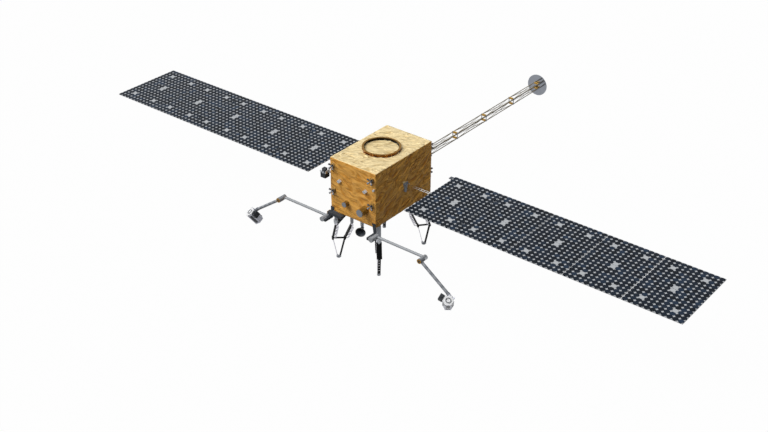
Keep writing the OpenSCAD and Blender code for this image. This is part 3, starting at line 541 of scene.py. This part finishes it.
mast_low, mast_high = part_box("mast_longerons")
batten_low, batten_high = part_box("mast_battens")
LONGERON_R = 15 * MM
BATTEN_T = 34 * MM
BATTEN_BAYS = 3
STAY_R = 6 * MM
SLEEVE_T = 58 * MM
mast_x = mast_high.x - LONGERON_R
mast_z = (mast_low.z + mast_high.z) / 2
batten_step = (batten_high.y - batten_low.y - BATTEN_T) / BATTEN_BAYS
battens = [batten_low.y + BATTEN_T / 2 + k * batten_step for k in range(BATTEN_BAYS + 1)]
stations = [mast_low.y] + battens + [mast_high.y]
corners = [Vector((x * mast_x, 0, mast_z + z * mast_x)) for x, z in ((-1, -1), (1, -1), (1, 1), (-1, 1))]
bm = bmesh.new()
for near, far in zip(stations, stations[1:]):
    for a, b in zip(corners, corners[1:] + corners[:1]):
        add_rod(bm, a + Vector((0, near, 0)), b + Vector((0, far, 0)), STAY_R, sides=6)
        add_rod(bm, b + Vector((0, near, 0)), a + Vector((0, far, 0)), STAY_R, sides=6)
new_piece("mast_stays", bm, "bus_structure", [mast_tube])
# Gold-chromated sleeves: yellow gold metal with a brown shade.
gold_fitting = mottled("chromated sleeve, gold", "#8A6417", "#D0A545", 30, 0.1,
                       {"Metallic": 0.6, "Roughness": 0.3})
bm = bmesh.new()
for y in battens + [mast_high.y - SLEEVE_T]:
    for rise in (-mast_x, mast_x):
        add_block(bm, (2 * mast_x - 2 * LONGERON_R, SLEEVE_T, SLEEVE_T),
                  Matrix.Translation((0, y, mast_z + rise)), bevel=5 * MM)
new_piece("batten_sleeves", bm, "bus_structure", [gold_fitting])

# Wing drives and yokes
# A cast drive on each side, with a small cap of film on it, turns the wing about its own axis. A forked head
# carries the yoke, a slim ladder of white tube whose root is painted amber as a reflection of the film, and
# the yoke folds up with the panels.

# Cast drive housing: mid grey paint, slightly sandy.
drive_grey = mottled("aluminium casting, grey", "#8A9098", "#A9AFB6", 20, 0.3,
                     {"Roughness": 0.5, "Specular IOR Level": 0.3})
dress(drive_grey, "drive_housings", "right_drive_head", "left_drive_head")
CAP_SIZE = (56 * MM, 100 * MM, 60 * MM)
CAP_EDGE_R = 14 * MM
# Middle of a cap: out from the bus side, along the bus, and over the wing's axis
CAP_MIDDLE = Vector((36, -62, 80)) * MM
bm = bmesh.new()
for end in (-1, 1):
    middle = (end * (bus_half.x + CAP_MIDDLE.x), CAP_MIDDLE.y, wing_z + CAP_MIDDLE.z)
    add_block(bm, CAP_SIZE, Matrix.Translation(middle), bevel=CAP_EDGE_R)
# The caps wear the deck's pale film, whose paleness is painted top light, so each shows as a painted
# highlight.
new_piece("drive_caps", bm, "bus_structure", [film_top])
# The painted reflection of the film is full up to the first of these places and gone at the second
YOKE_REFLECTION_FULL = bus_high.x + 330 * MM
YOKE_REFLECTION_GONE = bus_high.x + 700 * MM
# White-painted tube: bright and chalky at the panels, amber at the root as a painted reflection of the film.
yoke_paint, tree, shader, place = start_material("steel tube, white paint with painted film reflection", {"Roughness": 0.5})
at = add_node(tree, "SeparateXYZ", {"Vector": place})
out = add_node(tree, "Math", {0: at.outputs["X"]}, operation="ABSOLUTE")
bare = add_node(tree, "MapRange", {"Value": out.outputs[0], "From Min": YOKE_REFLECTION_FULL, "From Max": YOKE_REFLECTION_GONE})
grime = add_node(tree, "TexNoise", {"Vector": place, "Scale": per(40), "Detail": 4.0})
white = add_node(tree, "Mix", {
    "Factor": grime.outputs["Fac"], "A": linear("#D2D2D0"), "B": linear("#E8E8E6")}, data_type="RGBA")
paint_and_reflection = add_node(tree, "Mix", {
    "Factor": bare.outputs["Result"], "A": linear("#8A6433"), "B": white.outputs["Result"]}, data_type="RGBA")
tree.links.new(paint_and_reflection.outputs["Result"], shader.inputs["Base Color"])
dress(yoke_paint, "right_yoke", "left_yoke")

# Solar panels
# Honeycomb panels with a pale face sheet, laid out with round silicon cells. A few places are left bare for
# the hold-down points. The cells differ a little from one to the next, and the back is black composite.

panel_low, panel_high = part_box("right_panel_1")
PANEL_T = 25 * MM
CELL_COLS = 11
CELL_ROWS = 16
# Seed step between panels, more than the columns of one
PANEL_SEED = 37.0
panel_len = 1768 * MM
panel_pitch = 1791 * MM
wing_start = bus_high.x + 1004 * MM
panel_chord = panel_high.y - panel_low.y
cell_pitch = (panel_len / CELL_COLS, panel_chord / CELL_ROWS)
# Reach of a cell and of the dark grout round it, as shares of the pitch
CELL_SHARE = 0.495
GROUT_SHARE = 0.528

# Silicon cells over painted sheet: blue-black under cover glass, dark grout, pale sheet between four cells.
solar_cells, tree, shader, place = start_material(
    "silicon cells on painted sheet", {"Specular IOR Level": 0.04})
at = add_node(tree, "SeparateXYZ", {"Vector": place})
out = add_node(tree, "Math", {0: at.outputs["X"]}, operation="ABSOLUTE")
along = add_node(tree, "Math", {0: out.outputs[0], 1: wing_start}, operation="SUBTRACT")
panels = add_node(tree, "Math", {0: along.outputs[0], 1: panel_pitch}, operation="DIVIDE")
panel_index = add_node(tree, "Math", {0: panels.outputs[0]}, operation="FLOOR")
panel_start = add_node(tree, "Math", {0: panel_index.outputs[0], 1: panel_pitch}, operation="MULTIPLY")
in_panel = add_node(tree, "Math", {0: along.outputs[0], 1: panel_start.outputs[0]}, operation="SUBTRACT")
cols = add_node(tree, "Math", {0: in_panel.outputs[0], 1: cell_pitch[0]}, operation="DIVIDE")
cell_col = add_node(tree, "Math", {0: cols.outputs[0]}, operation="FLOOR")
rows = add_node(tree, "Math", {0: at.outputs["Y"], 1: cell_pitch[1]}, operation="DIVIDE")
cell_row = add_node(tree, "Math", {0: rows.outputs[0]}, operation="FLOOR")
wing_side = add_node(tree, "Math", {0: at.outputs["X"]}, operation="SIGN")
panel_seed = add_node(tree, "Math", {0: panel_index.outputs[0], 1: PANEL_SEED}, operation="MULTIPLY")
col_seed = add_node(tree, "Math", {0: cell_col.outputs[0], 1: panel_seed.outputs[0]}, operation="ADD")
col_part = add_node(tree, "Math", {0: cols.outputs[0], 1: cell_col.outputs[0]}, operation="SUBTRACT")
row_part = add_node(tree, "Math", {0: rows.outputs[0], 1: cell_row.outputs[0]}, operation="SUBTRACT")
in_cell = add_node(tree, "CombineXYZ", {"X": col_part.outputs[0], "Y": row_part.outputs[0]})
from_middle = add_node(tree, "VectorMath", {
    0: in_cell.outputs["Vector"], 1: (0.5, 0.5, 0)}, operation="DISTANCE")
past_grout = add_node(tree, "Math", {
    0: from_middle.outputs["Value"], 1: GROUT_SHARE}, operation="GREATER_THAN")
left_out = add_node(tree, "Math", {0: from_middle.outputs["Value"], 1: CELL_SHARE}, operation="LESS_THAN")
pale = add_node(tree, "Math", {0: past_grout.outputs[0], 1: left_out.outputs[0]}, operation="ADD")
cell_id = add_node(tree, "CombineXYZ", {
    "X": col_seed.outputs[0], "Y": cell_row.outputs[0], "Z": wing_side.outputs[0]})
lot = add_node(tree, "TexWhiteNoise", {"Vector": cell_id.outputs["Vector"]}, noise_dimensions="3D")
cell_tone = add_node(tree, "ValToRGB", {"Fac": lot.outputs["Value"]})
cell_tone.color_ramp.elements[0].color = linear("#11161D")
cell_tone.color_ramp.elements[1].color = linear("#223042")
cell_tone.color_ramp.elements.new(0.5).color = linear("#161D27")
cell_tone.color_ramp.elements.new(0.8).color = linear("#1B2430")
above_sheet = add_node(tree, "Math", {
    0: at.outputs["Z"], 1: wing_z + PANEL_T / 2 + 1 * MM}, operation="GREATER_THAN")
below_sheet = add_node(tree, "Math", {
    0: at.outputs["Z"], 1: wing_z - PANEL_T / 2 + 0.5 * MM}, operation="LESS_THAN")
inboard = add_node(tree, "Math", {0: along.outputs[0], 1: -1 * MM}, operation="LESS_THAN")
front = add_node(tree, "Mix", {
    "Factor": pale.outputs[0], "A": linear("#161B22"), "B": linear("#ABAEB1")}, data_type="RGBA")
sheet = add_node(tree, "Mix", {
    "Factor": below_sheet.outputs[0], "A": front.outputs["Result"], "B": linear("#2A2C30")}, data_type="RGBA")
trim = add_node(tree, "Mix", {
    "Factor": inboard.outputs[0], "A": sheet.outputs["Result"], "B": linear("#5A5E64")}, data_type="RGBA")
face = add_node(tree, "Mix", {
    "Factor": above_sheet.outputs[0], "A": trim.outputs["Result"],
    "B": cell_tone.outputs["Color"]}, data_type="RGBA")
gloss = add_node(tree, "Mix", {"Factor": above_sheet.outputs[0], "A": 0.6, "B": 0.3}, data_type="FLOAT")
tree.links.new(face.outputs["Result"], shader.inputs["Base Color"])
tree.links.new(gloss.outputs["Result"], shader.inputs["Roughness"])
for side in ("right", "left"):
    dress(solar_cells, *[f"{side}_panel_{i}" for i in range(1, 6)])

# Legs
# Four truss legs of black composite plates, laced to silver rails behind them. They are pinned through silver
# knuckles to grey hip posts under the bus, with film over the webs that is painted brown as shade, a silver
# shroud on each outer hip and a dark channel over each brace. The feet are small grey pads.

# Black composite: near black with a faint weave sheen.
black_composite = mottled("carbon composite", "#090A0B", "#141517", 10, 0.1,
                          {"Roughness": 0.5, "Specular IOR Level": 0.06})
dress(black_composite, "leg_upper_struts", "leg_lower_struts", "leg_knees")
# Dark grey paint on brackets and channels: matt, a little dusty.
dark_paint = mottled("aluminium, dark grey paint", "#2C2F34", "#44484D", 24, 0.15,
                     {"Roughness": 0.55, "Specular IOR Level": 0.12})
dress(fitting_grey, "leg_hips")
# Polished aluminium bars: silver, so they show the pale studio even in the shade of the bus.
bright_bar = mottled("aluminium, polished bar", "#BDBCC6", "#DEDDE4", 40, 0.05,
                     {"Metallic": 0.75, "Roughness": 0.3})
dress(bright_bar, "leg_knuckles", "leg_lacing")
dress(fitting_grey, "leg_feet")
# The film over the webs is painted brown as shade.
dress(film_painted_shade_brown, "foil_covers")
# The outer hip in the leg's own plane, from the underside of the bus: a silver shroud round the pin, and a
# dark channel over the brace
LEG_X = 822 * MM
LEG_Y = 1157 * MM
HIP_X = 60.4 * MM
BRACE_RUN = 460 * MM
BRACE_RISE = 560 * MM
BRACE_MIDDLE = Vector((-170, 0, -340)) * MM
CHANNEL_W = 64 * MM
CHANNEL_H = 80 * MM
# Shroud as (radius, height from the underside of the bus)
shroud = [(r * MM, h * MM) for r, h in ((52, -400), (76, -430), (80, -500), (50, -620), (30, -650))]
brace_turn = Matrix.Rotation(math.atan2(BRACE_RISE, BRACE_RUN), 4, "Y")
brace_size = (math.hypot(BRACE_RUN, BRACE_RISE), CHANNEL_W, CHANNEL_H)
shrouds = bmesh.new()
channels = bmesh.new()
for end in (-1, 1):
    for depth in (-1, 1):
        leg = (Matrix.Translation((end * LEG_X, depth * LEG_Y, bus_low.z))
               @ Matrix.Rotation(math.atan2(depth, end), 4, "Z"))
        add_lathe(shrouds, shroud, leg @ Matrix.Translation((HIP_X, 0, 0)), sides=24)
        add_block(channels, brace_size, leg @ Matrix.Translation(BRACE_MIDDLE) @ brace_turn, bevel=6 * MM)
new_piece("hip_shrouds", shrouds, "bus_structure", [milled])
new_piece("brace_channels", channels, "bus_structure", [dark_paint])

# Arms and tools
# Two jointed arms of painted tube with drum motors at shoulder and elbow, on dark brackets that are bolted to
# the bus. Each ends in a six-sided tool with a white face plate, a raised docking ring, dark side windows
# and a black camera block.

# Pale grey paint over aluminium tube: clean and satin.
arm_grey = mottled("aluminium, grey paint", "#86898D", "#A0A3A7", 22, 0.1,
                   {"Roughness": 0.45, "Specular IOR Level": 0.3})
dress(arm_grey, "shoulder_motors")
dress(dark_paint, "arm_brackets")
# One radian of the ribs' wave, which is 239 mm from rib to rib
RIB_RADIAN_MM = 38
# Radians in a metre of a wave texture of scale 1
WAVE_RADIANS = 20
FORE_ANGLE = math.radians(35.6)
# Ribbed sleeve over the forearm: grey paint with a shallow turned rib, and painted shade in the grooves.
ribbed, tree, shader, place = start_material("ribbed sleeve, grey paint", {"Roughness": 0.5})
at = add_node(tree, "SeparateXYZ", {"Vector": place})
out = add_node(tree, "Math", {0: at.outputs["X"]}, operation="ABSOLUTE")
both = add_node(tree, "CombineXYZ", {"X": out.outputs[0], "Y": at.outputs["Y"], "Z": at.outputs["Z"]})
along = add_node(tree, "Mapping", {"Vector": both.outputs["Vector"], "Rotation": (0, -FORE_ANGLE, 0)})
rib = add_node(tree, "TexWave", {
    "Vector": along.outputs["Vector"], "Scale": per(RIB_RADIAN_MM) / WAVE_RADIANS}, bands_direction="X")
tone = add_node(tree, "Mix", {
    "Factor": rib.outputs["Fac"], "A": linear("#6C7076"), "B": linear("#8E9196")}, data_type="RGBA")
bump = add_node(tree, "Bump", {"Height": rib.outputs["Fac"], "Distance": 3 * MM, "Strength": 0.4})
tree.links.new(tone.outputs["Result"], shader.inputs["Base Color"])
tree.links.new(bump.outputs["Normal"], shader.inputs["Normal"])
# White face plate: chalky paint with a cool cast.
tool_white = mottled("face plate, white paint", "#CBCCCD", "#DADADB", 60, 0.05,
                     {"Roughness": 0.5, "Specular IOR Level": 0.25})
# Tool housing: bare metal with a cool lilac cast.
tool_silver = mottled("tool housing, bare aluminium", "#A6A8B2", "#C2C4CC", 30, 0.1,
                      {"Metallic": 0.65, "Roughness": 0.38})
# Rubber seal on the docking ring: soft dull grey.
seal_rubber = mottled("rubber seal, grey", "#54575B", "#6A6D71", 16, 0.1,
                      {"Roughness": 0.7, "Specular IOR Level": 0.2})
# Amber film cover on the elbow's end: brown gold, crinkled.
amber_film = mottled("film cover, amber", "#6E4E0A", "#AC801E", 20, 0.3, {"Metallic": 0.3, "Roughness": 0.4})
for side in ("right", "left"):
    dress(arm_grey, f"{side}_shoulder", f"{side}_upper_link")
    dress(milled, f"{side}_elbow")
    dress(ribbed, f"{side}_forearm")
    dress(amber_film, f"{side}_elbow_cap")
    dress(tool_silver, f"{side}_tool_body")
    dress(tool_white, f"{side}_tool_plate")
    dress(black_paint, f"{side}_tool_camera")

# Places of the right arm; the left arm is its mirror image
ELBOW = Vector((2812, -1744, -2167)) * MM
DRUM_R = 80 * MM
CAP_T = 12 * MM
TOOL_PLACE = Vector((3992.9, -1878.0, -2963.0)) * MM
TOOL_LEAN = math.radians(37.3)
TOOL_TURN = math.radians(-54.3)
POCKET_FLOOR = 139.2 * MM
POCKET_MIDDLE = -244.5 * MM
tool_place = (Matrix.Translation(TOOL_PLACE) @ Matrix.Rotation(TOOL_TURN, 4, "Z")
              @ Matrix.Rotation(TOOL_LEAN, 4, "Y"))
toward_front = Matrix.Rotation(math.pi / 2, 4, "X")
# Bands lie this far behind the elbow's front end
band_places = (64 * MM, 140 * MM)
WINDOW = (5 * MM, 108 * MM, 338 * MM)
# Walls of the tool that have a window, as turns from the first in degrees
window_turns = (0, 60, 180, 300)
# Band, boss and seal as (radius, height) outlines
band = [(DRUM_R + r * MM, h * MM) for r, h in ((-1, -6), (2.5, -5), (2.5, 5), (-1, 6))]
boss = [(r * MM, h * MM) for r, h in ((34, 0), (34, 5), (28, 8), (12, 8), (8, 4))]
seal = [(r * MM, h * MM) for r, h in ((60, 15), (62, 19), (84, 19), (86, 15))]
for side, mirror in (("right", Matrix.Identity(4)), ("left", Matrix.Scale(-1, 4, (1, 0, 0)))):
    bm = bmesh.new()
    for y in band_places:
        hub = mirror @ Matrix.Translation(ELBOW + Vector((0, y, 0))) @ toward_front
        add_lathe(bm, band, hub, sides=48, hoop=True)
    new_piece(f"{side}_elbow_bands", bm, f"{side}_lower_arm", [arm_grey])
    bm = bmesh.new()
    add_lathe(bm, boss, mirror @ Matrix.Translation(ELBOW - Vector((0, CAP_T, 0))) @ toward_front, sides=32)
    new_piece(f"{side}_cap_boss", bm, f"{side}_lower_arm", [black_paint])
    bm = bmesh.new()
    for turn in window_turns:
        face = mirror @ tool_place @ Matrix.Rotation(math.radians(turn), 4, "Z")
        window = face @ Matrix.Translation((POCKET_FLOOR + WINDOW[0] / 2, 0, POCKET_MIDDLE))
        add_block(bm, WINDOW, window, bevel=2 * MM)
    new_piece(f"{side}_tool_windows", bm, f"{side}_tool", [dark_glass])
    bm = bmesh.new()
    add_lathe(bm, seal, mirror @ tool_place, sides=48, hoop=True)
    new_piece(f"{side}_tool_seal", bm, f"{side}_tool", [seal_rubber])

# Floor and background
# A pale studio floor under the feet. It and the world are white to the eye and in reflections, and light the
# object only softly.

# Strength of the white that is seen, and of the light that the world gives the object
SEEN_WHITE = 1.03
WORLD_FILL = 0.1


def white_to_eye(tree, lit, white):
    """Mixes a white emission in for camera, glossy and transmission rays."""
    path = add_node(tree, "LightPath", {})
    seen = path.outputs["Is Camera Ray"]
    for ray in ("Is Glossy Ray", "Is Transmission Ray"):
        seen = add_node(tree, "Math", {0: seen, 1: path.outputs[ray]}, operation="MAXIMUM").outputs[0]
    share = add_node(tree, "Math", {0: seen, 1: white}, operation="MULTIPLY")
    glow = add_node(tree, "Emission", {"Color": linear("#FFFFFF"), "Strength": SEEN_WHITE})
    return add_node(tree, "MixShader", {"Fac": share.outputs[0], 1: lit, 2: glow.outputs[0]}).outputs[0]


FLOOR_REACH = 150
# Share of the floor that is plain white to the eye; the rest keeps the object's shadow
FLOOR_WHITE = 0.955
bm = bmesh.new()
bmesh.ops.create_grid(bm, x_segments=1, y_segments=1, size=FLOOR_REACH)
floor_mesh = bpy.data.meshes.new("floor")
bm.to_mesh(floor_mesh)
bm.free()
floor = bpy.data.objects.new("floor", floor_mesh)
floor.location.z = cad_box[0].z
bpy.context.scene.collection.objects.link(floor)
floor_paint = bpy.data.materials.new("studio floor")
floor_paint.use_nodes = True
tree = floor_paint.node_tree
tree.nodes.clear()
lit = add_node(tree, "BsdfDiffuse", {"Color": linear("#5C5C5C")})
add_node(tree, "OutputMaterial", {"Surface": white_to_eye(tree, lit.outputs[0], FLOOR_WHITE)})
floor_mesh.materials.append(floor_paint)

world = bpy.data.worlds.new("studio")
bpy.context.scene.world = world
world.use_nodes = True
tree = world.node_tree
tree.nodes.clear()
fill = add_node(tree, "Background", {"Color": linear("#FFFFFF"), "Strength": WORLD_FILL})
add_node(tree, "OutputWorld", {"Surface": white_to_eye(tree, fill.outputs[0], 1.0)})

# Studio light
# One broad key lamp high at the front left, and a weak fill from the front right.

# Lamps as (name, direction towards the lamp, strength, width of the lamp in degrees)
lamps = (
    ("key", Vector((-0.38, -0.44, 0.815)), 3.2, 40),
    ("fill", Vector((0.27, -0.55, 0.79)), 0.7, 10),
)
for name, towards, strength, width in lamps:
    lamp = bpy.data.lights.new(name, "SUN")
    lamp.energy = strength
    lamp.angle = math.radians(width)
    holder = bpy.data.objects.new(name, lamp)
    holder.rotation_euler = towards.to_track_quat("Z", "Y").to_euler()
    bpy.context.scene.collection.objects.link(holder)

# Camera
# The viewpoint of the photograph, solved from the corners of the bus and the wings.

CAMERA_PLACE = Vector((20.038, -24.811, 16.804))
CAMERA_AZIMUTH = 38.79
CAMERA_ELEVATION = 31.19
camera = bpy.data.cameras.new("camera")
camera.sensor_width = 36
camera.lens = 55.26
camera.clip_end = 500
eye = bpy.data.objects.new("camera", camera)
eye.location = CAMERA_PLACE
eye.rotation_euler = (math.radians(90 - CAMERA_ELEVATION), 0, math.radians(CAMERA_AZIMUTH))
bpy.context.scene.collection.objects.link(eye)
bpy.context.scene.camera = eye
bpy.context.scene.view_settings.view_transform = "Standard"
